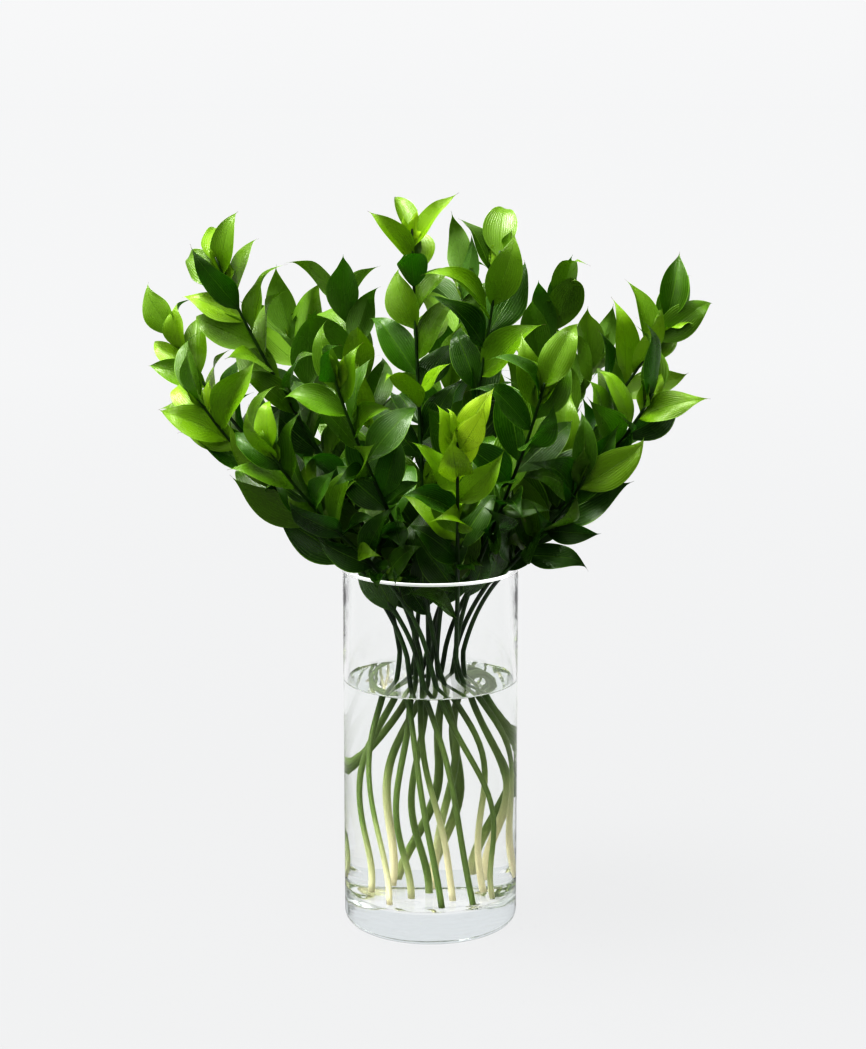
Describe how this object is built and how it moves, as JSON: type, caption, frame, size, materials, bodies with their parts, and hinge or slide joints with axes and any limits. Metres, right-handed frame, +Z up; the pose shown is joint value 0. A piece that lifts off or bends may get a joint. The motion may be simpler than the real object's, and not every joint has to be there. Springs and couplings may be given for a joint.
{
  "type": "vase of ruscus stems",
  "caption": "Clear glass cylinder vase about two-thirds full of water, holding a loose spreading bunch of fresh leafy ruscus stems with pointed glossy leaves.",
  "frame": {"origin": "centre of the vase's underside, on the surface it stands on", "axes": "+Z up along the vase's axis; -Y to the front of the bunch, the side it is shown from; +X to its right as seen from the front"},
  "size_m": [0.4691, 0.4265, 0.6096],
  "materials": {
    "glass": "polished",
    "water": "polished",
    "ruscus": "satin"
  },
  "bodies": {
    "root": {"vase": "glass", "water": "water", "stem_01": "ruscus", "stem_02": "ruscus", "stem_03": "ruscus", "stem_04": "ruscus", "stem_05": "ruscus", "stem_06": "ruscus", "stem_07": "ruscus", "stem_08": "ruscus", "stem_09": "ruscus", "stem_10": "ruscus", "stem_11": "ruscus", "stem_12": "ruscus", "stem_13": "ruscus", "stem_14": "ruscus", "stem_15": "ruscus", "stem_16": "ruscus", "stem_17": "ruscus"}
  },
  "joints": []
}
